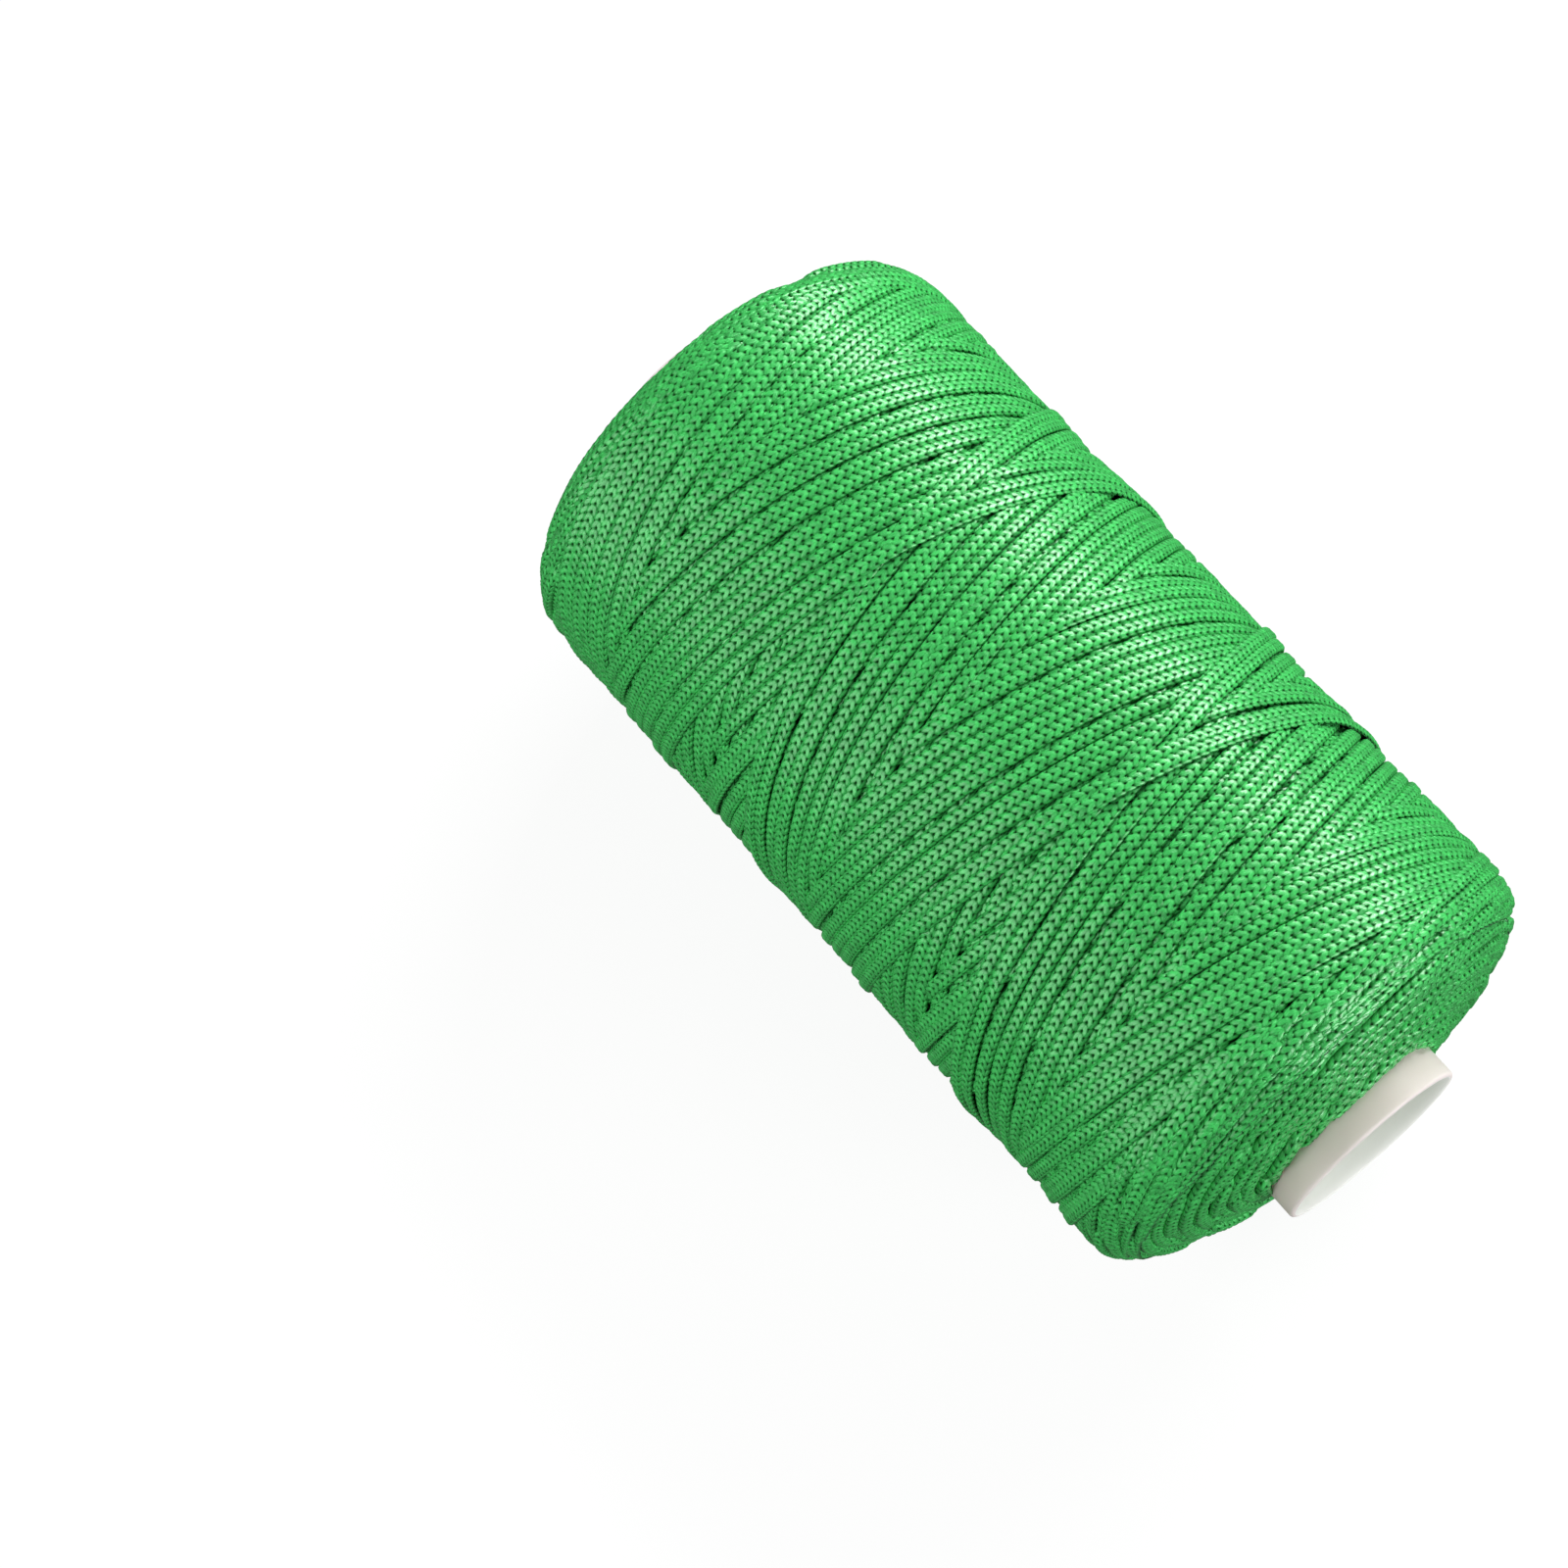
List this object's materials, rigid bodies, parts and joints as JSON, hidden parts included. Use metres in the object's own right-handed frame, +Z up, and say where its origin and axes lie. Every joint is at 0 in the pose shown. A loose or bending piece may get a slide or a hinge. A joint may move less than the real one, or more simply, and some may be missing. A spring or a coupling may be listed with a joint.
{
  "type": "fishing line spool",
  "caption": "Braided fishing line cross-wound with domed ends on an open plastic tube that fits over a spindle.",
  "frame": {"origin": "on the ground, under the middle of the spool, which lies on its side", "axes": "+Y along the winding tube, +Z up, +X across the tube"},
  "size_m": [0.0858, 0.17, 0.0858],
  "materials": {
    "tube": "milky translucent satin plastic",
    "line": "silky green braided nylon"
  },
  "bodies": {
    "root": {"core_tube": "tube", "line_anchor_turns": "line", "line_inner_layers": "line", "line_middle_layers": "line", "line_outer_layers": "line"}
  },
  "joints": []
}
